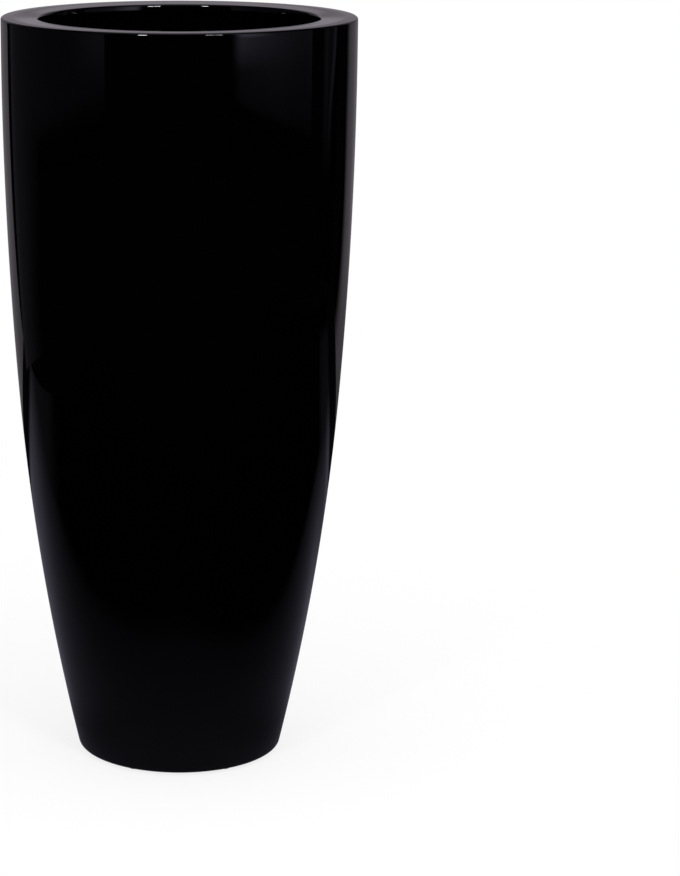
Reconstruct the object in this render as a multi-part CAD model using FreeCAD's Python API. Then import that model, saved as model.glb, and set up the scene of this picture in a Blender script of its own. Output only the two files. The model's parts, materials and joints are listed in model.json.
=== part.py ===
"""Tall round flower pot: a tapered composite wall with a broad rim, standing on small rubber pads.

Lengths are in millimetres. The origin is on the floor, on the pot's upright axis, and +Z is up.
Every piece is a cross-section turned about an upright axis, which is the pot's own for all but the
pads, so a point of a section is written as a distance from the axis and a height above the floor.
"""

import FreeCAD
import Part
import math
import os

# Outside of the pot
overall_height = 1000.0     # floor to the top of the rim
rim_diameter = 466.0        # outside, at the top
rim_width = 49.0            # top of the rim, from the outside to the mouth
rim_land = 14.0             # level outer part of the rim's top
rim_fall = 1.5              # how far the rest of the rim's top falls towards the mouth
band_height = 40.0          # upright band at the top, above the curved wall
waist_height = 500.0        # where the wall's two arcs meet
waist_inset = 18.0          # how far the wall has come in from the rim at the waist
foot_diameter = 276.0       # outside at the foot, before its edge is eased
foot_easing = 7.0           # radius of the foot's outer edge

# Wall and rim
wall = 7.0                  # moulded composite
rim_thickness = 7.0         # the rim ring, under the level part of its top
rim_easing = 2.5            # radius of the rim's two top edges
easing_limit = 0.8          # an eased edge takes at most this share of its wall
skirt_depth = 60.0          # inner lip of the mouth, from the top of the rim
skirt_wall = 6.0
rim_corner = 6.0            # inside radius between the rim ring's underside and its skirt

# Floor of the pot
foot_flange_thickness = 8.0
base_thickness = 8.0

# Bonded joints
glue_gap = 0.2              # room for adhesive between bonded faces
bond_leg = 16.0             # reach of a resin cove along each of the two faces that it joins
bond_edge = 1.5             # thickness of the cove where it runs out

# Drain hole and its stopper
drain_diameter = 24.0
plug_gap = 0.3              # between the stopper and the edge of its hole
plug_head_overlap = 7.0     # how far the stopper's head covers the floor round the hole
plug_head_thickness = 4.0
plug_head_easing = 1.2
plug_rib_count = 2
plug_rib_depth = 1.2
plug_tip_length = 4.0       # below the underside of the base
plug_tip_taper = 2.5        # how much narrower the tip is than the ribs
plug_neck_diameter = 10.0
plug_neck_length = 6.0
plug_knob_diameter = 18.0

# Floor pads
pad_count = 6
pad_diameter = 20.0
pad_thickness = 3.0
pad_margin = 2.5            # flat left on the foot on each side of a pad
pad_easing = 0.6

# Radii and heights that follow from the sizes above
rim_radius = rim_diameter / 2
mouth_radius = rim_radius - rim_width
mouth_top = overall_height - rim_fall
lap = wall / 2              # half-lap joint between the wall's top and the rim ring
ledge_height = overall_height - rim_thickness
foot_height = pad_thickness
flange_width = foot_easing + pad_diameter + 2 * pad_margin
flange_inner_radius = foot_diameter / 2 - flange_width
flange_top = foot_height + foot_flange_thickness
base_top = flange_top + base_thickness
drain_radius = drain_diameter / 2


def at(radius, height):
    """A point of a cross-section."""
    return FreeCAD.Vector(radius, 0, height)


def line(start, end):
    return Part.LineSegment(start, end).toShape()


def arc(start, through, end):
    return Part.Arc(start, through, end).toShape()


def eased(start, corner, end):
    """A rounded outer corner that leaves the two sides of a right angle at start and end."""
    centre = start + end - corner
    radius = (start - centre).Length
    return arc(start, centre + (corner - centre).normalize() * radius, end)


def polyline(points):
    return [line(a, b) for a, b in zip(points, points[1:])]


def lathe(edges):
    """Turns a closed cross-section about the upright axis into one solid."""
    face = Part.Face(Part.Wire(edges))
    return face.revolve(FreeCAD.Vector(0, 0, 0), FreeCAD.Vector(0, 0, 1), 360)


class WallArc:
    """A curved stretch of the wall's outside, which runs down from a point with a known outward normal.

    Its radius is negative where the wall is hollow, so an offset into the wall is always radius - depth.
    """

    def __init__(self, start, normal, end):
        chord = end - start
        self.radius = -chord.dot(chord) / (2 * chord.dot(normal))
        self.centre = start - normal * self.radius
        self.end_normal = (end - self.centre) * (1 / self.radius)

    def point(self, height, depth=0.0):
        """The point at that height, so deep under the outside."""
        radius = self.radius - depth
        rise = height - self.centre.z
        return at(self.centre.x + math.copysign(math.sqrt(radius ** 2 - rise ** 2), radius), height)

    def end(self, depth=0.0):
        """The lower end, so deep under the outside."""
        return self.centre + self.end_normal * (self.radius - depth)

    def edge(self, top, bottom, depth=0.0):
        """The stretch between two heights."""
        middle = (top + bottom) / 2
        return arc(self.point(top, depth), self.point(middle, depth), self.point(bottom, depth))


band_foot = at(rim_radius, overall_height - band_height)
waist = at(rim_radius - waist_inset, waist_height)
upper_arc = WallArc(band_foot, FreeCAD.Vector(1, 0, 0), waist)
lower_arc = WallArc(waist, upper_arc.end_normal, at(foot_diameter / 2, foot_height))


def make_outer_shell():
    """The lacquered wall, with a flange turned in under the floor and a half-lap for the rim ring."""
    easing = min(rim_easing, easing_limit * lap)
    lip_inner = rim_radius - lap
    wall_inner = rim_radius - wall
    top_edge = [
        line(at(lip_inner, overall_height), at(rim_radius - easing, overall_height)),
        eased(
            at(rim_radius - easing, overall_height),
            at(rim_radius, overall_height),
            at(rim_radius, overall_height - easing),
        ),
        line(at(rim_radius, overall_height - easing), band_foot),
    ]
    # The foot's easing touches the lower arc and the flat underside.
    easing_centre = lower_arc.point(foot_height + foot_easing, foot_easing)
    outwards = (easing_centre - lower_arc.centre) * (1 / (lower_arc.radius - foot_easing))
    easing_top = easing_centre + outwards * foot_easing
    easing_foot = at(easing_centre.x, foot_height)
    between = (outwards - FreeCAD.Vector(0, 0, 1)).normalize()
    outside = [
        upper_arc.edge(band_foot.z, waist.z),
        lower_arc.edge(waist.z, easing_top.z),
        arc(easing_top, easing_centre + between * foot_easing, easing_foot),
    ]
    flange_corner = lower_arc.point(flange_top, wall)
    flange = polyline([
        easing_foot,
        at(flange_inner_radius, foot_height),
        at(flange_inner_radius, flange_top),
        flange_corner,
    ])
    waist_inside = upper_arc.end(wall)
    inside = [
        lower_arc.edge(flange_top, waist_inside.z, wall),
        upper_arc.edge(waist_inside.z, band_foot.z, wall),
    ]
    half_lap = polyline([
        at(wall_inner, band_foot.z),
        at(wall_inner, ledge_height),
        at(lip_inner, ledge_height),
        at(lip_inner, overall_height),
    ])
    return lathe(top_edge + outside + flange + inside + half_lap)


def make_rim_ring():
    """The rim with the skirt that lines the mouth, dropped into the half-lap at the wall's top."""
    easing = min(rim_easing, easing_limit * (mouth_top - ledge_height))
    outer = rim_radius - lap - glue_gap
    skirt_outer = mouth_radius + skirt_wall
    skirt_foot = overall_height - skirt_depth
    corner_out = at(skirt_outer + rim_corner, ledge_height)
    corner_down = at(skirt_outer, ledge_height - rim_corner)
    corner_centre = at(corner_out.x, corner_down.z)
    corner_middle = corner_centre + FreeCAD.Vector(-1, 0, 1).normalize() * rim_corner
    mouth_edge = eased(
        at(mouth_radius, mouth_top - easing),
        at(mouth_radius, mouth_top),
        at(mouth_radius + easing, mouth_top),
    )
    top = polyline([
        at(mouth_radius + easing, mouth_top),
        at(rim_radius - rim_land, overall_height),
        at(outer, overall_height),
        at(outer, ledge_height),
        corner_out,
    ])
    skirt = polyline([
        corner_down,
        at(skirt_outer, skirt_foot),
        at(mouth_radius, skirt_foot),
        at(mouth_radius, mouth_top - easing),
    ])
    return lathe([mouth_edge] + top + [arc(corner_out, corner_middle, corner_down)] + skirt)


def make_cove(corner, wall_edge, wall_end, plate_end, inwards, off_plate):
    """A resin cove in the corner between the wall and a flat plate.

    wall_edge runs from the corner to wall_end, and plate_end lies on the plate. inwards points off
    the wall, and off_plate off the plate.
    """
    wall_tip = wall_end + inwards * bond_edge
    plate_tip = plate_end + off_plate * bond_edge
    quarter = 1 - math.sqrt(0.5)
    middle = corner + (wall_tip - corner) * quarter + (plate_tip - corner) * quarter
    return lathe([
        wall_edge,
        line(wall_end, wall_tip),
        arc(wall_tip, middle, plate_tip),
        line(plate_tip, plate_end),
        line(plate_end, corner),
    ])


def make_rim_bond():
    """The resin cove under the rim, between the wall and the rim ring."""
    radius = rim_radius - wall - glue_gap
    corner = at(radius, ledge_height)
    wall_end = at(radius, ledge_height - bond_leg)
    plate_end = at(radius - bond_leg, ledge_height)
    inwards = FreeCAD.Vector(-1, 0, 0)
    down = FreeCAD.Vector(0, 0, -1)
    return make_cove(corner, line(corner, wall_end), wall_end, plate_end, inwards, down)


def make_base_bond():
    """The resin cove round the pot's floor, between the base plate and the wall."""
    depth = wall + glue_gap
    corner = lower_arc.point(base_top, depth)
    wall_end = lower_arc.point(base_top + bond_leg, depth)
    plate_end = at(corner.x - bond_leg, base_top)
    inwards = FreeCAD.Vector(-1, 0, 0)
    up = FreeCAD.Vector(0, 0, 1)
    wall_edge = lower_arc.edge(base_top, base_top + bond_leg, depth)
    return make_cove(corner, wall_edge, wall_end, plate_end, inwards, up)


def make_base_plate():
    """The pot's floor, which rests on the wall's foot flange and has the drain hole in its middle."""
    edge_radius = lower_arc.point(flange_top, wall).x - glue_gap
    corners = [
        at(drain_radius, flange_top),
        at(edge_radius, flange_top),
        at(edge_radius, base_top),
        at(drain_radius, base_top),
    ]
    return lathe(polyline(corners + corners[:1]))


def make_drain_plug():
    """The rubber stopper: a ribbed stem in the drain hole, a head on the floor, and a knob to pull."""
    rib_radius = drain_radius - plug_gap
    core_radius = rib_radius - plug_rib_depth
    head_radius = drain_radius + plug_head_overlap
    head_top = base_top + plug_head_thickness
    neck_radius = plug_neck_diameter / 2
    knob_radius = plug_knob_diameter / 2
    neck_top = head_top + plug_neck_length
    knob_centre = neck_top + math.sqrt(knob_radius ** 2 - neck_radius ** 2)
    tip_height = flange_top - plug_tip_length
    rib_pitch = base_thickness / plug_rib_count

    knob_side = at(knob_radius, knob_centre)
    knob = arc(at(0, knob_centre + knob_radius), knob_side, at(neck_radius, neck_top))
    head = [
        line(at(neck_radius, neck_top), at(neck_radius, head_top)),
        line(at(neck_radius, head_top), at(head_radius - plug_head_easing, head_top)),
        eased(
            at(head_radius - plug_head_easing, head_top),
            at(head_radius, head_top),
            at(head_radius, head_top - plug_head_easing),
        ),
        line(at(head_radius, head_top - plug_head_easing), at(head_radius, base_top)),
    ]
    stem = [at(head_radius, base_top), at(core_radius, base_top)]
    for number in range(plug_rib_count):
        rib_top = base_top - number * rib_pitch
        stem.append(at(rib_radius, rib_top - rib_pitch / 2))
        stem.append(at(core_radius, rib_top - rib_pitch))
    stem += [
        at(rib_radius - plug_tip_taper, tip_height),
        at(0, tip_height),
        at(0, knob_centre + knob_radius),
    ]
    return lathe([knob] + head + polyline(stem))


def make_floor_pad(number):
    """One self-adhesive rubber pad under the foot, with its lower edge eased."""
    pad_radius = pad_diameter / 2
    section = [
        line(at(0, pad_thickness), at(0, 0)),
        line(at(0, 0), at(pad_radius - pad_easing, 0)),
        eased(at(pad_radius - pad_easing, 0), at(pad_radius, 0), at(pad_radius, pad_easing)),
        line(at(pad_radius, pad_easing), at(pad_radius, pad_thickness)),
        line(at(pad_radius, pad_thickness), at(0, pad_thickness)),
    ]
    pad = lathe(section)
    pad.translate(at(flange_inner_radius + pad_margin + pad_radius, 0))
    pad.rotate(FreeCAD.Vector(0, 0, 0), FreeCAD.Vector(0, 0, 1), number * 360 / pad_count)
    return pad


def main():
    pieces = {
        "outer_shell": make_outer_shell(),
        "rim_ring": make_rim_ring(),
        "rim_bond": make_rim_bond(),
        "base_plate": make_base_plate(),
        "base_bond": make_base_bond(),
        "drain_plug": make_drain_plug(),
    }
    for number in range(pad_count):
        pieces[f"floor_pad_{number + 1}"] = make_floor_pad(number)
    os.makedirs("parts", exist_ok=True)
    for name, shape in pieces.items():
        shape.exportStep(f"parts/{name}.step")
        print(f"{name}: {shape.ShapeType}, valid {shape.isValid()}, {shape.Volume / 1000:.1f} cm3")
    print(f"wall arcs of radius {upper_arc.radius:.0f} and {lower_arc.radius:.0f} mm")


main()
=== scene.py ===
"""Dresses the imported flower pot: polished black lacquer outside, raw fibre composite inside, a pale studio.

Lengths are in metres, in the part's own frame. Every piece of the pot is a cross-section turned about
an upright axis, so a point of a section is a distance from that axis and a height above the floor.
"""

import json
import math

import bmesh
import bpy
import numpy as np
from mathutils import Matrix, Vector, noise


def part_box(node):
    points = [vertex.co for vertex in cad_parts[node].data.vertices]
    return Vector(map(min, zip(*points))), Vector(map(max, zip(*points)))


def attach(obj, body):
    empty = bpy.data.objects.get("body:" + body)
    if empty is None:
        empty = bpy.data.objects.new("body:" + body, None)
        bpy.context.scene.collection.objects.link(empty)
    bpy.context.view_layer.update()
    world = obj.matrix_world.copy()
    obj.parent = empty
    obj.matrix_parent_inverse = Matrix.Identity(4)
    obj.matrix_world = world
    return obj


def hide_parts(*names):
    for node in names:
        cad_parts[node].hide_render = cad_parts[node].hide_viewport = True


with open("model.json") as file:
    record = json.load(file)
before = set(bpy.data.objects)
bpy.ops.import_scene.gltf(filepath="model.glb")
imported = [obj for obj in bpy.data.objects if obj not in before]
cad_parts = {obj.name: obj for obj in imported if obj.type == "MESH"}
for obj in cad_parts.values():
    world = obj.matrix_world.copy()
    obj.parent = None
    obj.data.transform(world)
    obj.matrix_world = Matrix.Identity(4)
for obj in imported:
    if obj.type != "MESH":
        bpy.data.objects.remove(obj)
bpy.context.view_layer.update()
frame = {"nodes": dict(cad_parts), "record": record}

# Sizes of the pot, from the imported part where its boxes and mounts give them
shell_low, shell_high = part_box("outer_shell")
ring_low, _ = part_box("rim_ring")
plate_low, plate_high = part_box("base_plate")
plug_low, plug_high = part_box("drain_plug")
pad_low, pad_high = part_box("floor_pad_1")
mouth = next(m for m in frame["record"]["mounts"] if m["name"] == "mouth")

RIM_RADIUS = shell_high.x
TOP = shell_high.z
FOOT = shell_low.z
MOUTH_RADIUS = mouth["dims"]["r_mm"] / 1000
SKIRT_FOOT = ring_low.z
PLATE_RADIUS = plate_high.x
PLATE_UNDERSIDE = plate_low.z
PLATE_TOP = plate_high.z
PLUG_HEAD_RADIUS = plug_high.x
PLUG_TIP = plug_low.z
PLUG_TOP = plug_high.z
PAD_RADIUS = (pad_high.x - pad_low.x) / 2
PAD_CIRCLE = (pad_high.x + pad_low.x) / 2
PAD_COUNT = sum(name.startswith("floor_pad") for name in frame["nodes"])

# Sizes that the boxes don't give
BAND_HEIGHT = 0.040
WAIST_HEIGHT = 0.500
WAIST_INSET = 0.018
FOOT_RADIUS = 0.138
FOOT_EASING = 0.007
WALL = 0.007
LAP = WALL / 2
RIM_THICKNESS = 0.007
RIM_EASING = 0.0033
RIM_LAND = 0.014
RIM_FALL = 0.0013
RIM_FALL_POWER = 1.5        # the rim falls the faster the nearer it comes to the mouth
MOUTH_LEAD = 0.0075         # height over which the mouth opens out towards its eased edge
MOUTH_SLANT = math.radians(4.5)
SKIRT_WALL = 0.006
SKIRT_EASING = 0.002
RIM_CORNER = 0.006
FLANGE_INNER = 0.106
COVE_LEG = 0.016
COVE_FEATHER = 0.0004       # thickness of a cove's brushed-out edge
GLUE_GAP = 0.0002
DRAIN_RADIUS = 0.012
DRAIN_EASING = 0.0008
PLUG_RIB_RADIUS = 0.0117
PLUG_CORE_RADIUS = 0.0105
PLUG_RIBS = 2
PLUG_TIP_RADIUS = 0.0092
PLUG_HEAD_THICKNESS = 0.004
PLUG_HEAD_EASING = 0.0012
PLUG_NECK_RADIUS = 0.005
PLUG_KNOB_RADIUS = 0.009
PLUG_NECK_FILLET = 0.0012
PLUG_TIP_EASING = 0.0008
MOULD_LINE_TURN = math.radians(2)
MOULD_LINE_HEIGHT = 0.00012
GROOVE_RADIUS = 0.0135
GROOVE_HALF_WIDTH = 0.0008
GROOVE_DEPTH = 0.0005
PAD_EASING = 0.0006
PAD_HOLLOW = 0.0004
PAD_HOLLOW_SHARE = 0.7      # of the pad's radius

# Fineness of the meshes
SEGMENTS = 256
PLUG_SEGMENTS = 96
PAD_SEGMENTS = 48
OUTSIDE_STEPS = 180
INSIDE_STEPS = 170
RIM_STEPS = 14
MERGE_DISTANCE = 1e-7
SHARP_ANGLE = math.radians(32)


class WallArc:
    """A curved stretch of the wall's outside, running down from a point with a known outward normal."""

    def __init__(self, start, normal, end):
        chord = end - start
        self.radius = -chord.dot(chord) / (2 * chord.dot(normal))
        self.centre = start - normal * self.radius
        self.end_normal = (end - self.centre) / self.radius

    def distance(self, height, depth):
        """Distance from the pot's axis at that height, so deep under the outside."""
        radius = self.radius - depth
        return self.centre.x + math.sqrt(radius ** 2 - (height - self.centre.y) ** 2)


band_foot = Vector((RIM_RADIUS, TOP - BAND_HEIGHT))
waist = Vector((RIM_RADIUS - WAIST_INSET, WAIST_HEIGHT))
upper_arc = WallArc(band_foot, Vector((1, 0)), waist)
lower_arc = WallArc(waist, upper_arc.end_normal, Vector((FOOT_RADIUS, FOOT)))


def wall_distance(height, depth=0.0):
    """Distance from the axis to the wall's outside, or to a surface so deep under it."""
    if height >= band_foot.y:
        return RIM_RADIUS - depth
    if height >= WAIST_HEIGHT - upper_arc.end_normal.y * depth:
        return upper_arc.distance(height, depth)
    return lower_arc.distance(height, depth)


def smooth(value, low, high):
    """Rises softly from 0 at low to 1 at high."""
    share = min(1.0, max(0.0, (value - low) / (high - low)))
    return share * share * (3 - 2 * share)


def fade(value, low, high):
    """Falls softly from 1 at low to 0 at high."""
    return 1 - smooth(value, low, high)


def straight(start, end, steps=1):
    """Points along a line, both ends included."""
    return [tuple(Vector(start).lerp(Vector(end), i / steps)) for i in range(steps + 1)]


def rounded(start, corner, end, steps=7):
    """Points of a quarter ellipse that touches the two sides of a right angle at start and end."""
    start, corner, end = Vector(start), Vector(corner), Vector(end)
    centre = start + end - corner
    turns = [math.pi / 2 * i / steps for i in range(steps + 1)]
    return [tuple(centre + (start - centre) * math.cos(t) + (end - centre) * math.sin(t)) for t in turns]


def turned(centre, radius, first, last, steps):
    """Points of a circle between two angles, in radians from straight out."""
    angles = [first + (last - first) * i / steps for i in range(steps + 1)]
    return [(centre[0] + radius * math.cos(a), centre[1] + radius * math.sin(a)) for a in angles]


def along_wall(first, last, depth, steps):
    """Points along the wall between two heights, so deep under its outside."""
    heights = [first + (last - first) * i / steps for i in range(steps + 1)]
    return [(wall_distance(h, depth), h) for h in heights]


def lathe(name, stretches, materials, segments=SEGMENTS, centre=(0, 0), shape=None):
    """Turns a cross-section into a closed mesh piece.

    stretches is a list of (points, material number), each starting where the one before it ends. shape
    moves the finished points, as shape(point, normal, material number).
    """
    section = [p for points, _ in stretches for p in points[:-1]]
    paints = [number for points, number in stretches for _ in points[:-1]]
    build = bmesh.new()
    rings = []
    for s in range(segments):
        angle = 2 * math.pi * s / segments
        rings.append([build.verts.new((r * math.cos(angle), r * math.sin(angle), z)) for r, z in section])
    for s in range(segments):
        here, there = rings[s], rings[(s + 1) % segments]
        for i, paint in enumerate(paints):
            j = (i + 1) % len(section)
            if section[i][0] or section[j][0]:
                face = build.faces.new((here[i], there[i], there[j], here[j]))
                face.material_index = paint
                face.smooth = True
    bmesh.ops.remove_doubles(build, verts=build.verts, dist=MERGE_DISTANCE)
    bmesh.ops.recalc_face_normals(build, faces=build.faces)
    for edge in build.edges:
        edge.smooth = edge.calc_face_angle(0) < SHARP_ANGLE
    if shape:
        build.normal_update()
        moved = []
        for vert in build.verts:
            paint = max(face.material_index for face in vert.link_faces)
            moved.append(shape(vert.co, vert.normal, paint))
        for vert, place in zip(build.verts, moved):
            vert.co = place
    bmesh.ops.translate(build, verts=build.verts, vec=(centre[0], centre[1], 0))
    mesh = bpy.data.meshes.new(name)
    build.to_mesh(mesh)
    build.free()
    for material in materials:
        mesh.materials.append(material)
    piece = bpy.data.objects.new(name, mesh)
    bpy.context.scene.collection.objects.link(piece)
    return piece


def dress(piece, body, node):
    """Puts a piece on its body, in the place of the solid that it stands for."""
    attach(piece, body)
    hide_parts(node)


class Paint:
    """A node material in the making: a Principled shader, and short calls for the nodes before it."""

    def __init__(self, name, ior=1.5):
        self.material = bpy.data.materials.new(name)
        self.material.use_nodes = True
        self.tree = self.material.node_tree
        self.shader = self.tree.nodes["Principled BSDF"]
        self.shader.inputs["IOR"].default_value = ior
        self.place = self.add("ShaderNodeTexCoord").outputs["Object"]

    def add(self, kind, inputs=None, **settings):
        """Adds a node, with values or links for its inputs."""
        node = self.tree.nodes.new(kind)
        for key, value in settings.items():
            setattr(node, key, value)
        for key, value in (inputs or {}).items():
            self.feed(node.inputs[key], value)
        return node

    def feed(self, socket, value):
        if isinstance(value, bpy.types.NodeSocket):
            self.tree.links.new(value, socket)
        else:
            socket.default_value = value

    def set(self, socket, value):
        self.feed(self.shader.inputs[socket], value)

    def math(self, operation, first, second=0.0):
        return self.add("ShaderNodeMath", {0: first, 1: second}, operation=operation).outputs[0]

    def noise(self, scale, detail=3.0, place=None):
        """Clouds, with so many to a metre."""
        inputs = {"Vector": place or self.place, "Scale": scale, "Detail": detail}
        return self.add("ShaderNodeTexNoise", inputs).outputs["Fac"]

    def cells(self, scale):
        """Distance from the middle of the nearest cell, in cells, with so many to a metre."""
        inputs = {"Vector": self.place, "Scale": scale}
        return self.add("ShaderNodeTexVoronoi", inputs).outputs["Distance"]

    def lying(self, place, length, width, turn):
        """Coordinates in which a plain noise comes out as strands of that length and width."""
        inputs = {"Vector": place, "Scale": (length, width, 1.0), "Rotation": (0, 0, turn)}
        return self.add("ShaderNodeMapping", inputs, vector_type="TEXTURE").outputs["Vector"]

    def span(self, value, low, high, to_low=0.0, to_high=1.0):
        """Brings a value from one range to another, with soft ends."""
        inputs = {"Value": value, "From Min": low, "From Max": high, "To Min": to_low, "To Max": to_high}
        return self.add("ShaderNodeMapRange", inputs, interpolation_type="SMOOTHSTEP").outputs["Result"]

    def mix(self, share, first, second):
        inputs = {0: share, 6: first, 7: second}
        return self.add("ShaderNodeMix", inputs, data_type="RGBA").outputs[2]

    def bump(self, height, distance, strength, under=None):
        """A normal roughened by a height from 0 to 1, where 1 stands for that distance."""
        node = self.add("ShaderNodeBump", {"Height": height, "Distance": distance, "Strength": strength})
        if under:
            self.feed(node.inputs["Normal"], under)
        return node.outputs["Normal"]

    def facing_up(self):
        """How far the surface faces up, from -1 to 1."""
        normal = self.add("ShaderNodeNewGeometry").outputs["Normal"]
        return self.add("ShaderNodeSeparateXYZ", {"Vector": normal}).outputs["Z"]

    def laid_round(self, radius, turn=0.0):
        """Coordinates laid on an upright wall: along its girth, and up. turn puts their seam elsewhere."""
        inputs = {"Vector": self.place, "Rotation": (0, 0, turn)}
        place = self.add("ShaderNodeMapping", inputs).outputs["Vector"]
        apart = self.add("ShaderNodeSeparateXYZ", {"Vector": place}).outputs
        girth = self.math("MULTIPLY", self.math("ARCTAN2", apart["Y"], apart["X"]), radius)
        return self.add("ShaderNodeCombineXYZ", {"X": girth, "Y": apart["Z"]}).outputs["Vector"]

    def strands(self, place, length, width, turns):
        """A mat of short strands that cross each other, from 0 to 1."""
        mat = None
        for number, turn in enumerate(turns):
            apart = (LAYER_SHIFT[0] * number, LAYER_SHIFT[1] * number, 0)
            shifted = self.add("ShaderNodeVectorMath", {0: place, 1: apart}).outputs[0]
            layer = self.span(self.noise(1.0, 1.5, self.lying(shifted, length, width, turn)), *STRAND_EDGE)
            mat = self.math("MAXIMUM", mat, layer) if mat else layer
        return mat


# Mat of strands: their size, the turn of each layer, how far layers lie apart, and the soft edge of a strand
STRAND_LENGTH = 0.030
STRAND_WIDTH = 0.0011
STRAND_TURNS = (0.2, 0.95, 1.6, 2.35, 2.9)
LAYER_SHIFT = (0.37, 0.53)
STRAND_EDGE = (0.56, 0.68)
MAT_OVERLAP = 0.03          # half the width over which the two halves of the wall's mat overlap

# Colours of the materials, the darker one first where there are two
LACQUER_COLOURS = ((0.0001, 0.0001, 0.00015, 1), (0.0003, 0.00025, 0.0004, 1))
DUST_COLOUR = (0.11, 0.105, 0.10, 1)
MATRIX_COLOURS = ((0.028, 0.0275, 0.027, 1), (0.062, 0.060, 0.056, 1))
FIBRE_COLOURS = ((0.085, 0.082, 0.077, 1), (0.135, 0.128, 0.117, 1))
# painted shade in the composite's pits
PIT_SHADE_COLOUR = (0.008, 0.008, 0.008, 1)
RESIN_COLOURS = ((0.014, 0.0135, 0.013, 1), (0.040, 0.038, 0.034, 1))
# painted shade in the resin's bubbles
BUBBLE_SHADE_COLOUR = (0.006, 0.006, 0.006, 1)
RUBBER_COLOURS = ((0.011, 0.011, 0.0115, 1), (0.033, 0.033, 0.034, 1))


def lacquer_paint():
    """Polished black lacquer: a faint orange peel, polishing marks, and specks of dust where it faces up."""
    paint = Paint("black_lacquer")
    specks = paint.span(paint.cells(420.0), 0.10, 0.05)
    sparse = paint.span(paint.noise(38.0, 2.0), 0.60, 0.74)
    level = paint.span(paint.facing_up(), 0.75, 0.98)
    dust = paint.math("MULTIPLY", paint.math("MULTIPLY", specks, sparse), level)
    depth = paint.mix(paint.noise(9.0), *LACQUER_COLOURS)
    paint.set("Base Color", paint.mix(dust, depth, DUST_COLOUR))
    girth = paint.laid_round(RIM_RADIUS)
    marks = paint.noise(1.0, 2.0, paint.lying(girth, 0.25, 0.0008, 0.35))
    haze = paint.span(paint.noise(6.0, 4.0), 0.35, 0.8, 0.012, 0.04)
    polish = paint.math("ADD", haze, paint.span(marks, 0.62, 0.75, 0.0, 0.025))
    paint.set("Roughness", paint.math("ADD", polish, paint.math("MULTIPLY", dust, 0.4)))
    peel = paint.bump(paint.noise(260.0, 1.0), 0.00001, 0.35)
    paint.set("Normal", paint.bump(paint.noise(14.0, 1.0), 0.00008, 0.3, peel))
    return paint.material


def composite_paint(name, upright):
    """Raw fibre composite: dark filled resin with a chopped-strand mat showing through, and painted shade in
    small pits.
    """
    paint = Paint(name)
    if upright:
        radius = RIM_RADIUS - WALL
        here = paint.strands(paint.laid_round(radius), STRAND_LENGTH, STRAND_WIDTH, STRAND_TURNS)
        there = paint.strands(paint.laid_round(radius, math.pi), STRAND_LENGTH, STRAND_WIDTH, STRAND_TURNS)
        across = paint.add("ShaderNodeSeparateXYZ", {"Vector": paint.place}).outputs["X"]
        share = paint.span(across, -MAT_OVERLAP, MAT_OVERLAP)
        rest = paint.math("SUBTRACT", 1.0, share)
        mat = paint.math("ADD", paint.math("MULTIPLY", here, share), paint.math("MULTIPLY", there, rest))
    else:
        mat = paint.strands(paint.place, STRAND_LENGTH, STRAND_WIDTH, STRAND_TURNS)
    cloud = paint.noise(7.0, 4.0)
    matrix = paint.mix(cloud, *MATRIX_COLOURS)
    fibre = paint.mix(cloud, *FIBRE_COLOURS)
    # dark specks of painted shade, standing for the shade inside pinholes
    pit_shade = paint.span(paint.cells(300.0), 0.16, 0.06)
    paint.set("Base Color", paint.mix(pit_shade, paint.mix(mat, matrix, fibre), PIT_SHADE_COLOUR))
    paint.set("Roughness", paint.span(paint.noise(60.0), 0.3, 0.7, 0.5, 0.82))
    weave = paint.bump(mat, 0.0007, 0.8)
    paint.set("Normal", paint.bump(paint.noise(120.0, 4.0), 0.0005, 0.5, weave))
    return paint.material


def resin_paint():
    """Hand-laid filled resin: satin, with brush marks and a few bubbles, dented and darkened with painted
    shade.
    """
    paint = Paint("bond_resin")
    cloud = paint.noise(22.0, 4.0)
    bubble_dents_and_shade = paint.span(paint.cells(230.0), 0.20, 0.10)
    # the bubbles are dented, and darkened with painted shade
    paint.set("Base Color", paint.mix(bubble_dents_and_shade, paint.mix(cloud, *RESIN_COLOURS), BUBBLE_SHADE_COLOUR))
    paint.set("Roughness", paint.span(cloud, 0.3, 0.75, 0.28, 0.62))
    brush = paint.noise(1.0, 3.0, paint.lying(paint.laid_round(FOOT_RADIUS), 0.06, 0.0016, 0.1))
    paint.set("Normal", paint.bump(bubble_dents_and_shade, -0.0006, 0.6, paint.bump(brush, 0.0008, 0.6)))
    return paint.material


def rubber_paint():
    """Moulded black rubber: matt, with a bloom and a fine grain."""
    paint = Paint("black_rubber", ior=1.45)
    bloom = paint.span(paint.noise(90.0, 4.0), 0.42, 0.75)
    paint.set("Base Color", paint.mix(bloom, *RUBBER_COLOURS))
    paint.set("Roughness", paint.span(paint.noise(160.0), 0.3, 0.7, 0.52, 0.78))
    grain = paint.bump(paint.noise(1500.0, 2.0), 0.00008, 0.5)
    paint.set("Normal", paint.bump(paint.noise(240.0, 2.0), 0.0002, 0.3, grain))
    return paint.material


LACQUER = lacquer_paint()
COMPOSITE = composite_paint("fibre_composite_wall", upright=True)
COMPOSITE_FLOOR = composite_paint("fibre_composite_floor", upright=False)
RESIN = resin_paint()
RUBBER = rubber_paint()
LACQUERED, RAW = 0, 1

# Unevenness of the handmade surfaces: waves per metre, and depth
SANDED_WAVE = (7.0, 0.00005)
LAID_LUMP = (16.0, 0.0006)
COVE_LUMP = (60.0, 0.0005)
COVE_STRAY = (28.0, 0.0022)
LUMP_LAYERS = (0.9, 2.1, 4)     # how much fainter and how much finer each layer of lumps is, and their number
LUMP_MEAN = 0.7
FLOOR_CLOSER = 2                # how much closer the floor's lumps lie than the wall's

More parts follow.
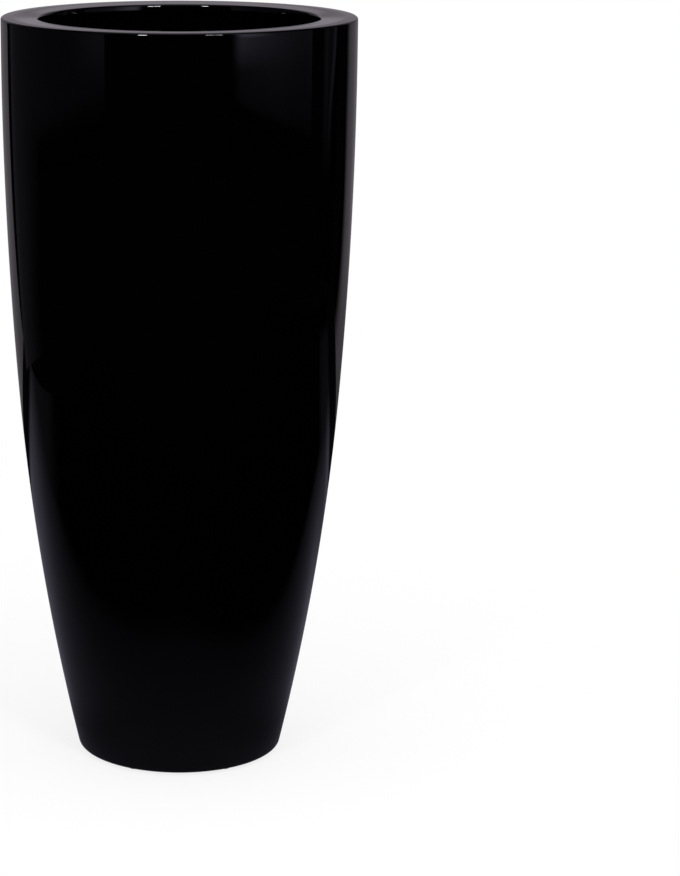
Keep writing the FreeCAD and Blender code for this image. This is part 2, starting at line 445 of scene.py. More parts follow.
# Where the unevenness sets in: below the rim's top, above the floor, beside its edges, and as a share of a cove
SANDED_BELOW_TOP = (0.004, 0.06)
LAID_BELOW_TOP = (0.01, 0.04)
LAID_ABOVE_FLOOR = (COVE_LEG, 0.05)
LAID_FROM_EDGES = (0, 0.02)
COVE_LUMP_START = (0.0, 0.3)
FACING_UP = 0.5                 # least upward part of a normal on the floor's top


def handmade_wall(point, normal, paint):
    """The slight waves of a hand-sanded wall outside, and the lumps of hand-laid mat inside."""
    if paint == LACQUERED:
        waves, depth = SANDED_WAVE
        start = smooth(TOP - point.z, *SANDED_BELOW_TOP)
        return point + normal * noise.noise(point * waves) * depth * start
    waves, depth = LAID_LUMP
    start = min(smooth(point.z - PLATE_TOP, *LAID_ABOVE_FLOOR), smooth(TOP - point.z, *LAID_BELOW_TOP))
    return point + normal * (noise.fractal(point * waves, *LUMP_LAYERS) - LUMP_MEAN) * depth * start


def make_outer_shell():
    lip = RIM_RADIUS - LAP
    inner = RIM_RADIUS - WALL
    ledge = TOP - RIM_THICKNESS
    easing_height = FOOT + FOOT_EASING
    easing_centre = Vector((lower_arc.distance(easing_height, FOOT_EASING), easing_height))
    outwards = easing_centre - lower_arc.centre
    foot_edge = turned(easing_centre, FOOT_EASING, math.atan2(outwards.y, outwards.x), -math.pi / 2, 8)
    outside = along_wall(TOP - RIM_EASING, foot_edge[0][1], 0.0, OUTSIDE_STEPS)
    flange_corner = (wall_distance(PLATE_UNDERSIDE, WALL), PLATE_UNDERSIDE)
    stretches = [
        (straight((lip, TOP), (RIM_RADIUS - RIM_EASING, TOP)), LACQUERED),
        (rounded((RIM_RADIUS - RIM_EASING, TOP), (RIM_RADIUS, TOP), outside[0]), LACQUERED),
        (outside, LACQUERED),
        (foot_edge, LACQUERED),
        (straight(foot_edge[-1], (FLANGE_INNER, FOOT), 6), RAW),
        (straight((FLANGE_INNER, FOOT), (FLANGE_INNER, PLATE_UNDERSIDE), 2), RAW),
        (straight((FLANGE_INNER, PLATE_UNDERSIDE), flange_corner, 4), RAW),
        (along_wall(PLATE_UNDERSIDE, ledge, WALL, INSIDE_STEPS), RAW),
        (straight((inner, ledge), (lip, ledge)), RAW),
        (straight((lip, ledge), (lip, TOP)), RAW),
    ]
    shell = lathe("lacquered_wall", stretches, [LACQUER, COMPOSITE], shape=handmade_wall)
    dress(shell, "pot", "outer_shell")


def make_rim_ring():
    lip = RIM_RADIUS - LAP
    ledge = TOP - RIM_THICKNESS
    mouth_top = TOP - RIM_FALL
    land_inner = RIM_RADIUS - RIM_LAND
    skirt_outer = MOUTH_RADIUS + SKIRT_WALL
    slant_height = MOUTH_LEAD - RIM_EASING * (1 - math.sin(MOUTH_SLANT))
    slant_top = MOUTH_RADIUS + slant_height * math.tan(MOUTH_SLANT)
    easing_centre = (slant_top + RIM_EASING * math.cos(MOUTH_SLANT), mouth_top - RIM_EASING)
    easing = turned(easing_centre, RIM_EASING, math.pi - MOUTH_SLANT, math.pi / 2, 10)
    mouth_edge = straight((MOUTH_RADIUS, mouth_top - MOUTH_LEAD), easing[0], 4)[:-1] + easing
    top = []
    for step in range(RIM_STEPS + 1):
        share = step / RIM_STEPS
        distance = mouth_edge[-1][0] + (land_inner - mouth_edge[-1][0]) * share
        top.append((distance, TOP - RIM_FALL * (1 - share) ** RIM_FALL_POWER))
    corner = rounded(
        (skirt_outer + RIM_CORNER, ledge),
        (skirt_outer, ledge),
        (skirt_outer, ledge - RIM_CORNER),
    )
    outer_edge = rounded(
        (skirt_outer, SKIRT_FOOT + SKIRT_EASING),
        (skirt_outer, SKIRT_FOOT),
        (skirt_outer - SKIRT_EASING, SKIRT_FOOT),
    )
    inner_edge = rounded(
        (MOUTH_RADIUS + SKIRT_EASING, SKIRT_FOOT),
        (MOUTH_RADIUS, SKIRT_FOOT),
        (MOUTH_RADIUS, SKIRT_FOOT + SKIRT_EASING),
    )
    stretches = [
        (mouth_edge, LACQUERED),
        (top, LACQUERED),
        (straight((land_inner, TOP), (lip, TOP), 3), LACQUERED),
        (straight((lip, TOP), (lip, ledge)), RAW),
        (straight((lip, ledge), corner[0], 6), RAW),
        (corner, RAW),
        (straight(corner[-1], outer_edge[0], 10), RAW),
        (outer_edge, RAW),
        (straight(outer_edge[-1], inner_edge[0]), LACQUERED),
        (inner_edge, LACQUERED),
        (straight(inner_edge[-1], mouth_edge[0], 14), LACQUERED),
    ]
    ring = lathe("lacquered_rim", stretches, [LACQUER, COMPOSITE])
    dress(ring, "pot", "rim_ring")


def make_cove(name, node, wall_side, plate_end):
    """A hand-laid cove in the corner where wall_side starts, up to its last point and to plate_end."""
    corner, wall_end, plate_end = Vector(wall_side[0]), Vector(wall_side[-1]), Vector(plate_end)
    wall_tip = wall_end - Vector((COVE_FEATHER, 0))
    plate_tip = plate_end + Vector((0, math.copysign(COVE_FEATHER, wall_end.y - corner.y)))
    stretches = [
        (wall_side, 0),
        (straight(wall_end, wall_tip), 0),
        (rounded(wall_tip, (wall_tip.x, plate_tip.y), plate_tip, 12), 0),
        (straight(plate_tip, plate_end), 0),
        (straight(plate_end, corner, 3), 0),
    ]

    def hand_laid(point, normal, paint):
        """Lumps on the face, and edges that stray along the wall and the plate."""
        around = Vector((point.x, point.y, 0)).normalized()
        from_corner = Vector((point.xy.length, point.z)) - corner
        reach = from_corner.length / COVE_LEG
        waves, depth = COVE_STRAY
        stray = from_corner.normalized() * noise.noise(point * waves) * depth * reach ** 3
        place = point + around * stray.x + Vector((0, 0, stray.y))
        if min(-from_corner.x, abs(from_corner.y)) > COVE_FEATHER / 4:
            waves, depth = COVE_LUMP
            place += normal * noise.noise(point * waves) * depth * smooth(reach, *COVE_LUMP_START)
        return place

    cove = lathe(name, stretches, [RESIN], shape=hand_laid)
    dress(cove, "pot", node)


def make_coves():
    radius = RIM_RADIUS - WALL - GLUE_GAP
    ledge = TOP - RIM_THICKNESS
    rim_side = straight((radius, ledge), (radius, ledge - COVE_LEG), 4)
    make_cove("rim_resin_cove", "rim_bond", rim_side, (radius - COVE_LEG, ledge))
    base_side = along_wall(PLATE_TOP, PLATE_TOP + COVE_LEG, WALL + GLUE_GAP, 4)
    make_cove("base_resin_cove", "base_bond", base_side, (base_side[0][0] - COVE_LEG, PLATE_TOP))


def hand_laid_floor(point, normal, paint):
    """Hollows between the lumps of the mat, away from the drain hole and the plate's edge."""
    if normal.z < FACING_UP:
        return point.copy()
    distance = point.xy.length
    past_plug = smooth(distance - PLUG_HEAD_RADIUS, *LAID_FROM_EDGES)
    start = past_plug * smooth(PLATE_RADIUS - distance, *LAID_FROM_EDGES)
    waves, depth = LAID_LUMP
    return point - normal * abs(noise.fractal(point * waves * FLOOR_CLOSER, *LUMP_LAYERS)) * depth * start


def make_base_plate():
    hole_edge = rounded(
        (DRAIN_RADIUS + DRAIN_EASING, PLATE_TOP),
        (DRAIN_RADIUS, PLATE_TOP),
        (DRAIN_RADIUS, PLATE_TOP - DRAIN_EASING),
    )
    stretches = [
        (hole_edge, 0),
        (straight(hole_edge[-1], (DRAIN_RADIUS, PLATE_UNDERSIDE), 3), 0),
        (straight((DRAIN_RADIUS, PLATE_UNDERSIDE), (PLATE_RADIUS, PLATE_UNDERSIDE), 20), 0),
        (straight((PLATE_RADIUS, PLATE_UNDERSIDE), (PLATE_RADIUS, PLATE_TOP), 2), 0),
        (straight((PLATE_RADIUS, PLATE_TOP), hole_edge[0], 44), 0),
    ]
    plate = lathe("composite_floor", stretches, [COMPOSITE_FLOOR], shape=hand_laid_floor)
    dress(plate, "pot", "base_plate")


def make_drain_plug():
    """The stopper, with a mould line round its knob, a groove in its head and rounded ribs on its stem."""
    head_top = PLATE_TOP + PLUG_HEAD_THICKNESS
    knob_centre = (0, PLUG_TOP - PLUG_KNOB_RADIUS)
    neck_turn = -math.acos(PLUG_NECK_RADIUS / PLUG_KNOB_RADIUS)
    line_radius = PLUG_KNOB_RADIUS + MOULD_LINE_HEIGHT
    knob = [(0, PLUG_TOP)]
    knob += turned(knob_centre, PLUG_KNOB_RADIUS, math.pi / 2, MOULD_LINE_TURN, 14)[1:]
    knob += turned(knob_centre, line_radius, MOULD_LINE_TURN / 2, -MOULD_LINE_TURN / 2, 2)
    knob += turned(knob_centre, PLUG_KNOB_RADIUS, -MOULD_LINE_TURN, neck_turn, 10)
    neck_foot = rounded(
        (PLUG_NECK_RADIUS, head_top + PLUG_NECK_FILLET),
        (PLUG_NECK_RADIUS, head_top),
        (PLUG_NECK_RADIUS + PLUG_NECK_FILLET, head_top),
    )
    groove = []
    for across in (-1, -0.5, 0, 0.5, 1):
        depth = GROOVE_DEPTH * (1 - across * across)
        groove.append((GROOVE_RADIUS + GROOVE_HALF_WIDTH * across, head_top - depth))
    head_edge = rounded(
        (PLUG_HEAD_RADIUS - PLUG_HEAD_EASING, head_top),
        (PLUG_HEAD_RADIUS, head_top),
        (PLUG_HEAD_RADIUS, head_top - PLUG_HEAD_EASING),
    )
    rib_depth = PLUG_RIB_RADIUS - PLUG_CORE_RADIUS
    steps = 8 * PLUG_RIBS
    stem = []
    for step in range(steps + 1):
        swell = math.sin(math.pi * PLUG_RIBS * step / steps) ** 2
        height = PLATE_TOP + (PLATE_UNDERSIDE - PLATE_TOP) * step / steps
        stem.append((PLUG_CORE_RADIUS + rib_depth * swell, height))
    tip_edge = rounded(
        (PLUG_TIP_RADIUS, PLUG_TIP + PLUG_TIP_EASING),
        (PLUG_TIP_RADIUS, PLUG_TIP),
        (PLUG_TIP_RADIUS - PLUG_TIP_EASING, PLUG_TIP),
    )
    outline = knob + neck_foot + groove + head_edge + [(PLUG_HEAD_RADIUS, PLATE_TOP)] + stem + tip_edge
    stretches = [(outline + [(0, PLUG_TIP)], 0), ([(0, PLUG_TIP), (0, PLUG_TOP)], 0)]
    plug = lathe("rubber_stopper", stretches, [RUBBER], segments=PLUG_SEGMENTS)
    dress(plug, "stopper", "drain_plug")


def make_floor_pads():
    """Pads with an eased lower edge, which stand on a ring round a shallow hollow."""
    hollow_radius = PAD_RADIUS * PAD_HOLLOW_SHARE
    edge = rounded((PAD_RADIUS - PAD_EASING, 0), (PAD_RADIUS, 0), (PAD_RADIUS, PAD_EASING))
    outline = [(0, PAD_HOLLOW), (hollow_radius, PAD_HOLLOW), (hollow_radius + PAD_HOLLOW, 0)] + edge
    stretches = [(outline + [(PAD_RADIUS, FOOT), (0, FOOT)], 0), ([(0, FOOT), (0, PAD_HOLLOW)], 0)]
    for number in range(PAD_COUNT):
        angle = 2 * math.pi * number / PAD_COUNT
        centre = (PAD_CIRCLE * math.cos(angle), PAD_CIRCLE * math.sin(angle))
        pad = lathe(f"rubber_pad_{number + 1}", stretches, [RUBBER], segments=PAD_SEGMENTS, centre=centre)
        dress(pad, "pot", f"floor_pad_{number + 1}")


make_outer_shell()
make_rim_ring()
make_coves()
make_base_plate()
make_drain_plug()
make_floor_pads()

# Studio: white paper under and behind the pot, dim walls and panels beside it, soft lamps.
# A level is how bright a sheet looks in the lacquer, where 1 is white. A bearing is in degrees from straight
# behind the pot, rightwards. A pair in brackets is where a level starts to change and where it stops, unless
# its comment says otherwise.
PAPER_LEFT, PAPER_RIGHT = -1.74, 2.45
PAPER_FRONT, PAPER_BACK = -1.30, 2.10
PAPER_STEPS = 120
SWEEP_RADIUS = 0.40
SWEEP_STEPS = 24
BACKDROP_STEPS = 110
STUDIO_HEIGHT = 2.6
PANEL_DISTANCE = 2.1
PANEL_EVEN_ABOVE = 1.0      # height above which a panel is as light as there
PANEL_STEPS_ROUND, PANEL_STEPS_UP = 90, 60
FLOOR_TINT = (1.0, 0.94, 1.24, 1)
PAPER_TINT = (1.0, 0.92, 1.04, 1)
PANEL_TINT = (1.0, 0.95, 1.25, 1)
PAPER_WHITE = (0.9, 0.9, 0.9, 1)
SHADOW_SHARE = 0.20         # how much of the floor's own shading the camera sees next to the pot
SHADOW_REACH = (0.2, 1.1)

# Pool of light on the floor: its edge curves back to both sides, and it grows lighter backwards
POOL_FRONT = -0.40
POOL_LEFT = (1.05, 0.45)    # how steeply the edge runs back on that side, and how round it starts
POOL_RIGHT = (1.35, 0.35)
POOL_SOFT = (-0.18, -0.02)  # metres behind the middle of the edge
POOL_LEVEL = 0.034
POOL_RISE = 0.17            # gain per metre behind the edge
POOL_MOST = 0.125

# Painted shadow of the pot in the pool: the share that the pool loses behind the pot on the right, and beside
# the pot's foot
POT_SHADOW = 0.45
POT_SHADOW_SIDE = (-0.1, 0.3)
POT_SHADOW_FRONT = (0.45, 0.95)
POT_SHADOW_BACK = (0.95, 1.2)
FOOT_SHADE = 0.5
FOOT_SHADE_SIDE = (0.08, 0.20)
FOOT_SHADE_REACH = (0.16, 0.30)

# Least level of the floor on both sides of the pool, and the painted shade that darkens the far floor in front
# of the backdrop
LEFT_FLOOR = 0.030
LEFT_FLOOR_FRONT = (0.05, 0.45)
RIGHT_FLOOR = 0.024
RIGHT_FLOOR_FRONT = (0.66, 0.88)
RIGHT_FLOOR_END = (2.05, 2.25)
FAR_FLOOR_SHADE = 0.004
FAR_FLOOR_SHADE_FRONT = (1.12, 1.28)


def floor_level(x, y):
    """The painted pool of light, with the pot's painted shadow in it and the floor beside it, up to the painted
    shade of the far floor in front of the backdrop.
    """
    steepness, roundness = POOL_LEFT if x < 0 else POOL_RIGHT
    edge = POOL_FRONT + steepness * (math.hypot(x, roundness) - roundness)
    pool = min(POOL_MOST, max(0.0, POOL_LEVEL + POOL_RISE * (y - edge))) * smooth(y - edge, *POOL_SOFT)
    # painted shadow of the pot: behind it on the right, and beside its foot
    pool *= 1 - POT_SHADOW * smooth(x, *POT_SHADOW_SIDE) * smooth(y, *POT_SHADOW_FRONT) * fade(y, *POT_SHADOW_BACK)
    pool *= 1 - FOOT_SHADE * smooth(abs(x), *FOOT_SHADE_SIDE) * fade(math.hypot(x, y), *FOOT_SHADE_REACH)
    if x < 0:
        beside = LEFT_FLOOR * smooth(y, *LEFT_FLOOR_FRONT)
    else:
        beside = RIGHT_FLOOR * smooth(y, *RIGHT_FLOOR_FRONT) * fade(x, *RIGHT_FLOOR_END)
    # the far floor fades to painted shade in front of the backdrop
    return FAR_FLOOR_SHADE + (max(pool, beside) - FAR_FLOOR_SHADE) * fade(y, *FAR_FLOOR_SHADE_FRONT)


# Backdrop: its own level, the glow high up in the middle, and the dim seam across that glow
BACKDROP_LEVEL = 0.175
BACKDROP_RIGHT_LOSS = 0.015
BACKDROP_TURN = (-0.3, 0.3)     # where its left half goes over into its right half
GLOW = 0.18
GLOW_LEFT = (0.35, 0.85)        # metres leftwards
GLOW_RIGHT = (0.4, 1.4)
GLOW_FOOT = (1.03, 1.15)
SEAM = 0.66                     # share of the glow
SEAM_FOOT = (1.17, 1.21)
SEAM_TOP = (1.24, 1.28)

# Shares gained halfway up, and on the right gained there and lost at the foot; share kept in the sweep
HALFWAY = 0.13
HALFWAY_FOOT = (0.15, 0.50)
HALFWAY_TOP = (0.80, 0.98)
RIGHT_HALFWAY = 0.25
RIGHT_FOOT_LOSS = 0.35
RIGHT_FOOT_TOP = (0.10, 0.40)
RIGHT_END = (0.9, 1.4)
SWEEP_SHARE = 0.85
SWEEP_TOP = (0.0, 0.2)

# Soft end of the backdrop on the right, at its foot, and how much further right it lies higher up
BACKDROP_END_START, BACKDROP_END_STOP = 1.55, 2.1
BACKDROP_LEAN_START, BACKDROP_LEAN_STOP = 0.2, 0.25
BACKDROP_LEANING = (0.10, 0.50)


def backdrop_level(x, z):
    """Lightest high up in the middle, with a sharp edge on the left and a soft one on the right."""
    middle = fade(-x, *GLOW_LEFT) - smooth(x, *GLOW_RIGHT)
    seam = smooth(z, *SEAM_FOOT) * fade(z, *SEAM_TOP)
    high = smooth(z, *GLOW_FOOT) * (1 - SEAM * seam)
    right_half = smooth(x, *BACKDROP_TURN)
    level = BACKDROP_LEVEL - BACKDROP_RIGHT_LOSS * right_half + GLOW * middle * high
    halfway = smooth(z, *HALFWAY_FOOT) * fade(z, *HALFWAY_TOP)
    right = right_half * fade(x, *RIGHT_END)
    right_gain = RIGHT_HALFWAY * halfway - RIGHT_FOOT_LOSS * fade(z, *RIGHT_FOOT_TOP)
    level *= 1 + HALFWAY * halfway + right * right_gain
    lean = smooth(z, *BACKDROP_LEANING)
    end_start = BACKDROP_END_START + BACKDROP_LEAN_START * lean
    end_stop = BACKDROP_END_STOP + BACKDROP_LEAN_STOP * lean
    return level * fade(x, end_start, end_stop) * (SWEEP_SHARE + (1 - SWEEP_SHARE) * smooth(z, *SWEEP_TOP))


# Left wall, in degrees leftwards: its fade towards the camera at the foot, and that fade's lean higher up
LEFT_WALL_LEVEL = 0.032
LEFT_FADE_START, LEFT_FADE_STOP = 56, 80
LEFT_LEAN_START, LEFT_LEAN_STOP = 4, 12
LEFT_LEANING = (0.10, 0.50)
LEFT_FADE_TOP = (0.50, 0.66)
LEFT_FAR_GAIN = 0.014
LEFT_FAR_END = (47, 56)


def left_wall_level(bearing, z):
    """Even high up, fading towards the camera low down, and a little lighter at its far end."""
    leftwards = -bearing
    lean = smooth(z, *LEFT_LEANING)
    fade_start = LEFT_FADE_START + LEFT_LEAN_START * lean
    fade_stop = LEFT_FADE_STOP + LEFT_LEAN_STOP * lean
    faded = smooth(leftwards, fade_start, fade_stop) * fade(z, *LEFT_FADE_TOP)
    return LEFT_WALL_LEVEL * (1 - faded) + LEFT_FAR_GAIN * fade(leftwards, *LEFT_FAR_END)


# Left panel, from the corner where the left wall ends
LEFT_CORNER = -80
LEFT_PANEL_LEVEL = 0.031
LEFT_PANEL_FOOT = 0.50          # height of its foot at the corner
LEFT_PANEL_CLIMB = 0.0017       # metres that the foot climbs per degree
LEFT_PANEL_SOFT = 0.12
LEFT_LIGHT = 0.05
LEFT_LIGHT_SIDE = (106, 132)    # degrees leftwards
LEFT_LIGHT_FOOT = (0.69, 0.81)


def left_panel_level(bearing, z):
    """As dim as the wall, with a foot that climbs towards the camera, and lighter high up at that end."""
    foot = LEFT_PANEL_FOOT + LEFT_PANEL_CLIMB * (LEFT_CORNER - bearing)
    light = LEFT_LIGHT * smooth(-bearing, *LEFT_LIGHT_SIDE) * smooth(z, *LEFT_LIGHT_FOOT)
    return (LEFT_PANEL_LEVEL + light) * smooth(z, foot, foot + LEFT_PANEL_SOFT)


# Right panel, which grows lighter between two bearings, and its crown high up at the near end
RIGHT_FAR, RIGHT_NEAR = 98, 141
RIGHT_PANEL_FOOT = 0.55         # height of its foot at the far bearing
RIGHT_PANEL_CLIMB = 0.0018      # metres that the foot climbs per degree
RIGHT_PANEL_SOFT = 0.03
RIGHT_PANEL_LEVEL = 0.02
RIGHT_PANEL_RISE = 0.37         # gain per metre above the foot
RIGHT_RISE_TOP = 0.76           # height where that gain ends
RIGHT_FAR_SHARE = 0.5           # share of the dim part's level at its far end
RIGHT_FAR_END = (95, 125)
RIGHT_NEAR_END = (141, 149.5)
RIGHT_LIGHT = 0.02
RIGHT_LIGHT_GAIN = 0.20
RIGHT_LIGHT_FOOT = (0.735, 0.805)
CROWN = 0.40
CROWN_FAR = (118, 139)
CROWN_NEAR = (140, 147)
CROWN_FOOT = (0.85, 1.0)


def right_panel_level(bearing, z):
    """Dim low down, with a foot that climbs towards the camera, and much lighter high up at that end."""
    foot = RIGHT_PANEL_FOOT + RIGHT_PANEL_CLIMB * (bearing - RIGHT_FAR)
    dim = RIGHT_PANEL_LEVEL + RIGHT_PANEL_RISE * (min(z, RIGHT_RISE_TOP) - foot)
    dim *= smooth(z, foot, foot + RIGHT_PANEL_SOFT)
    dim *= RIGHT_FAR_SHARE + (1 - RIGHT_FAR_SHARE) * smooth(bearing, *RIGHT_FAR_END)
    nearness = (bearing - RIGHT_FAR) / (RIGHT_NEAR - RIGHT_FAR)
    light = (RIGHT_LIGHT + RIGHT_LIGHT_GAIN * nearness ** 2) * smooth(z, *RIGHT_LIGHT_FOOT)
    crown = CROWN * smooth(bearing, *CROWN_FAR) * fade(bearing, *CROWN_NEAR) * smooth(z, *CROWN_FOOT)
    return (dim + light) * fade(bearing, *RIGHT_NEAR_END) + crown


# Strips on the right, in bearings and heights
NEAR_STRIP = 0.047
NEAR_STRIP_START = (73.9, 74.9)
NEAR_STRIP_END = (76.5, 81.8)
NEAR_STRIP_FOOT = (0.35, 0.85)
BETWEEN_STRIPS = 0.026
BETWEEN_SOFT = 1                # degrees
BETWEEN_END = (74, 75)
FAR_STRIP = 0.060
FAR_STRIP_TOP = 66.4            # bearing of its middle, high up
FAR_STRIP_LEAN = 5.4            # degrees that its foot lies nearer
FAR_STRIP_LEANING = (0.58, 0.83)
FAR_STRIP_EDGE = (1.2, 2.2)     # degrees from its middle
FAR_STRIP_FOOT = (0.40, 0.80)


def strips_level(bearing, z):
    """Two soft upright strips with a dim stretch between them, of which the far one leans."""
    far_middle = FAR_STRIP_TOP + FAR_STRIP_LEAN * fade(z, *FAR_STRIP_LEANING)
    near = NEAR_STRIP * smooth(bearing, *NEAR_STRIP_START) * fade(bearing, *NEAR_STRIP_END)
    between = BETWEEN_STRIPS * smooth(bearing, far_middle, far_middle + BETWEEN_SOFT)
    between *= fade(bearing, *BETWEEN_END)
    far = FAR_STRIP * fade(abs(bearing - far_middle), *FAR_STRIP_EDGE)
    return max(near, between) * smooth(z, *NEAR_STRIP_FOOT) + far * smooth(z, *FAR_STRIP_FOOT)


def nodes_of(owner):
    """Empties a node tree, and gives a call that adds a node to it and returns its one output, or all."""
    owner.use_nodes = True
    tree = owner.node_tree
    tree.nodes.clear()

    def add(kind, inputs=None, **settings):
        node = tree.nodes.new(kind)
        for key, value in settings.items():
            setattr(node, key, value)
        for key, value in (inputs or {}).items():
            if isinstance(value, bpy.types.NodeSocket):
                tree.links.new(value, node.inputs[key])
            else:
                node.inputs[key].default_value = value
        return node.outputs[0] if len(node.outputs) == 1 else node.outputs

    return add


def calc(add, operation, first, second):
    return add("ShaderNodeMath", {0: first, 1: second}, operation=operation)


def floor_paper():
    """Paper that the camera sees as white with the pot's shadow on it, and the lacquer at its level."""
    material = bpy.data.materials.new("floor_paper")
    add = nodes_of(material)
    path = add("ShaderNodeLightPath")
    level = add("ShaderNodeAttribute", attribute_name="level")["Fac"]
    shaded = add("ShaderNodeAttribute", attribute_name="shaded")["Fac"]
    white = add("ShaderNodeEmission", {"Color": (1, 1, 1, 1), "Strength": 1.0})
    mirrored = add("ShaderNodeEmission", {"Color": FLOOR_TINT, "Strength": level})
    glow = add("ShaderNodeMixShader", {0: path["Is Camera Ray"], 1: mirrored, 2: white})
    paper = add("ShaderNodeBsdfDiffuse", {"Color": PAPER_WHITE})
    plain = calc(add, "MULTIPLY", path["Is Camera Ray"], calc(add, "SUBTRACT", 1.0, shaded))
    in_mirrors = calc(add, "ADD", path["Is Glossy Ray"], path["Is Transmission Ray"])
    share = calc(add, "ADD", plain, in_mirrors)
    both = add("ShaderNodeMixShader", {0: share, 1: paper, 2: glow})
    add("ShaderNodeOutputMaterial", {"Surface": both})
    return material


def glowing_paper(name, tint):
    """Paper that is as light as its level, from all sides."""
    material = bpy.data.materials.new(name)
    add = nodes_of(material)
    level = add("ShaderNodeAttribute", attribute_name="level")["Fac"]
    glow = add("ShaderNodeEmission", {"Color": tint, "Strength": level})
    add("ShaderNodeOutputMaterial", {"Surface": glow})
    return material


PANEL_PAPER = glowing_paper("panel_paper", PANEL_TINT)


def stage_sheet(name, rows, material, levels, shaded=None):
    """A sheet of the studio through rows of points, with its level at each. The camera sees it if shaded."""
    across = len(rows[0])
    points = [p for row in rows for p in row]
    starts = [r * across + c for r in range(len(rows) - 1) for c in range(across - 1)]
    mesh = bpy.data.meshes.new(name)
    mesh.from_pydata(points, [], [(s, s + 1, s + across + 1, s + across) for s in starts])
    mesh.attributes.new("level", "FLOAT", "POINT").data.foreach_set("value", levels)
    mesh.materials.append(material)
    sheet = bpy.data.objects.new(name, mesh)
    bpy.context.scene.collection.objects.link(sheet)
    if shaded:
        mesh.attributes.new("shaded", "FLOAT", "POINT").data.foreach_set("value", shaded)
    else:
        sheet.visible_camera = False
        sheet.visible_diffuse = False
        sheet.visible_shadow = False


def make_paper():
    xs = np.linspace(PAPER_LEFT, PAPER_RIGHT, PAPER_STEPS).tolist()
    ys = np.linspace(PAPER_FRONT, PAPER_BACK - SWEEP_RADIUS, PAPER_STEPS).tolist()
    rows = [[(x, y, 0.0) for x in xs] for y in ys]
    levels = [floor_level(x, y) for y in ys for x in xs]
    shaded = [SHADOW_SHARE * fade(math.hypot(x, y), *SHADOW_REACH) for y in ys for x in xs]
    stage_sheet("paper_floor", rows, floor_paper(), levels, shaded)

    sweep_centre = (PAPER_BACK - SWEEP_RADIUS, SWEEP_RADIUS)
    profile = turned(sweep_centre, SWEEP_RADIUS, -math.pi / 2, 0, SWEEP_STEPS)
    profile += straight((PAPER_BACK, SWEEP_RADIUS), (PAPER_BACK, STUDIO_HEIGHT), BACKDROP_STEPS)[1:]
    rows = [[(x, y, z) for x in xs] for y, z in profile]
    levels = [backdrop_level(x, z) for _, z in profile for x in xs]
    stage_sheet("paper_backdrop", rows, glowing_paper("backdrop_paper", PAPER_TINT), levels)


def make_panel(name, first, last, low, level):
    """An upright panel round the pot between two bearings, from a height up."""
    bearings = np.linspace(first, last, PANEL_STEPS_ROUND).tolist()
    heights = np.linspace(low, PANEL_EVEN_ABOVE, PANEL_STEPS_UP).tolist() + [STUDIO_HEIGHT]
    turns = [math.radians(b) for b in bearings]
    feet = [(PANEL_DISTANCE * math.sin(t), PANEL_DISTANCE * math.cos(t)) for t in turns]
    rows = [[(x, y, z) for x, y in feet] for z in heights]
    stage_sheet(name, rows, PANEL_PAPER, [level(b, z) for z in heights for b in bearings])


def make_panels():
    make_panel("left_wall", -47, LEFT_CORNER, 0.0, left_wall_level)
    make_panel("left_panel", LEFT_CORNER, -134.5, 0.48, left_panel_level)
    make_panel("right_panel", 91, 151, 0.50, right_panel_level)
    make_panel("right_strips", 62, 82, 0.2, strips_level)


FLAG_LEFT, FLAG_RIGHT = 0.10, 0.38
FLAG_FRONT, FLAG_BACK = -0.78, -0.595
FLAG_HEIGHT = 1.25


def make_flag():
    """A black card that hides most of the right lamps from the front of the rim, but not from its back."""
    rows = [[(x, y, FLAG_HEIGHT) for x in (FLAG_LEFT, FLAG_RIGHT)] for y in (FLAG_FRONT, FLAG_BACK)]
    stage_sheet("lamp_flag", rows, PANEL_PAPER, [0.0] * 4)


# Small lamps, whose images are the highlights on the rim: name, place across the studio, and power
SMALL_LAMPS = (("left_lamp", -1.05, 21), ("right_lamp_near", 0.87, 20), ("right_lamp_far", 1.17, 20))
SMALL_LAMP_FRONT, SMALL_LAMP_HEIGHT = -2.4, 2.35
SMALL_LAMP_SIZE = (0.24, 0.55)
OVERHEAD_HEIGHT = 3.4
OVERHEAD_SIZE = (2.4, 2.4)
OVERHEAD_POWER = 55


def area_lamp(name, place, size, power, mirrored):
    """A soft lamp that points at the middle of the pot."""
    data = bpy.data.lights.new(name, "AREA")
    data.shape = "RECTANGLE"
    data.size, data.size_y = size
    data.energy = power
    lamp = bpy.data.objects.new(name, data)
    lamp.location = place
    aim = Vector((0, 0, TOP / 2)) - lamp.location
    lamp.rotation_euler = aim.to_track_quat("-Z", "Y").to_euler()
    lamp.visible_camera = False
    lamp.visible_glossy = mirrored
    bpy.context.scene.collection.objects.link(lamp)


def make_lamps():
    for name, across, power in SMALL_LAMPS:
        place = (across, SMALL_LAMP_FRONT, SMALL_LAMP_HEIGHT)
        area_lamp(name, place, SMALL_LAMP_SIZE, power, mirrored=True)
    area_lamp("overhead", (0, 0, OVERHEAD_HEIGHT), OVERHEAD_SIZE, OVERHEAD_POWER, mirrored=False)


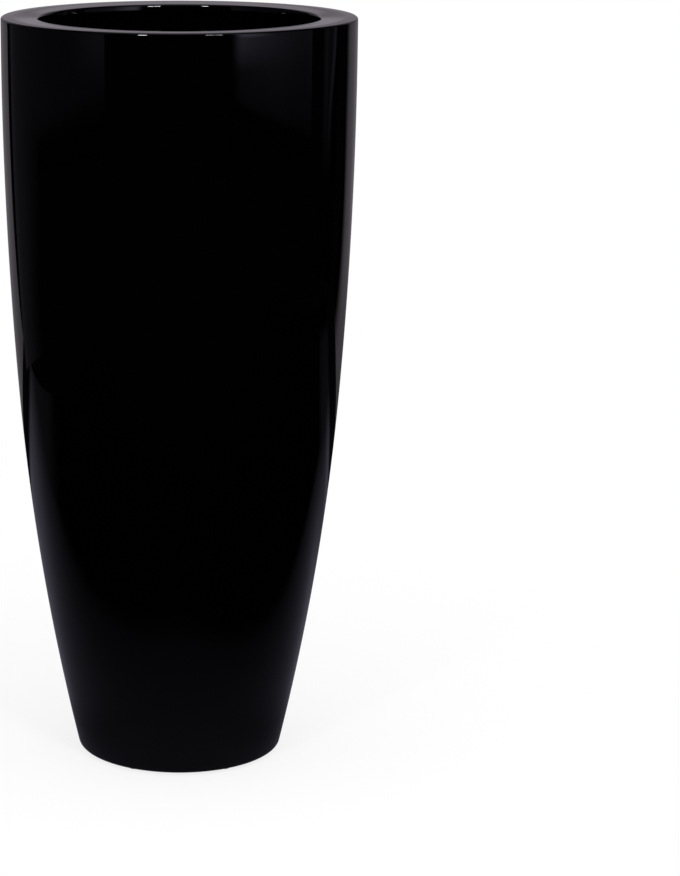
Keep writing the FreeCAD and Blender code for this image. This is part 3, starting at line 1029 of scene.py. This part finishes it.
# World: its level in the lacquer all round and straight up, and the soft light that it gives everything else
WORLD_LEVEL = 0.003
CEILING_LEVEL = 0.32
CEILING_START = 0.8         # upward part of a direction, of 1
AMBIENT = 0.50


def make_world():
    """White to the camera, nearly dark to the lacquer, and an even soft light for everything else."""
    world = bpy.data.worlds.new("studio")
    bpy.context.scene.world = world
    add = nodes_of(world)
    path = add("ShaderNodeLightPath")
    upwards = add("ShaderNodeSeparateXYZ", {0: add("ShaderNodeTexCoord")["Generated"]})["Z"]
    rise = {"Value": upwards, "From Min": CEILING_START, "To Min": WORLD_LEVEL, "To Max": CEILING_LEVEL}
    ceiling = add("ShaderNodeMapRange", rise)["Result"]
    in_mirrors = calc(add, "ADD", path["Is Glossy Ray"], path["Is Transmission Ray"])
    shown = calc(add, "ADD", path["Is Camera Ray"], calc(add, "MULTIPLY", in_mirrors, ceiling))
    others = calc(add, "SUBTRACT", 1.0, calc(add, "ADD", path["Is Camera Ray"], in_mirrors))
    strength = calc(add, "ADD", shown, calc(add, "MULTIPLY", others, AMBIENT))
    light = add("ShaderNodeBackground", {"Color": (1, 1, 1, 1), "Strength": strength})
    add("ShaderNodeOutputWorld", {"Surface": light})


# Camera at the photograph's angle, which was fitted to the pot's outline there
CAMERA_DISTANCE = 3.6697
CAMERA_HEIGHT = 1.3397
CAMERA_TILT = math.radians(13.878)
CAMERA_LENS = 114.83
SENSOR_WIDTH = 36
POT_AXIS_PIXEL = 179.3
IMAGE_WIDTH, IMAGE_HEIGHT = 680, 876


def make_camera():
    data = bpy.data.cameras.new("camera")
    data.sensor_width = SENSOR_WIDTH
    data.lens = CAMERA_LENS
    data.shift_x = (IMAGE_WIDTH / 2 - POT_AXIS_PIXEL) / IMAGE_HEIGHT
    camera = bpy.data.objects.new("camera", data)
    camera.location = (0, -CAMERA_DISTANCE, CAMERA_HEIGHT)
    camera.rotation_euler = (math.pi / 2 - CAMERA_TILT, 0, 0)
    bpy.context.scene.collection.objects.link(camera)
    bpy.context.scene.camera = camera


make_paper()
make_panels()
make_flag()
make_lamps()
make_world()
make_camera()
bpy.context.scene.view_settings.view_transform = "Standard"
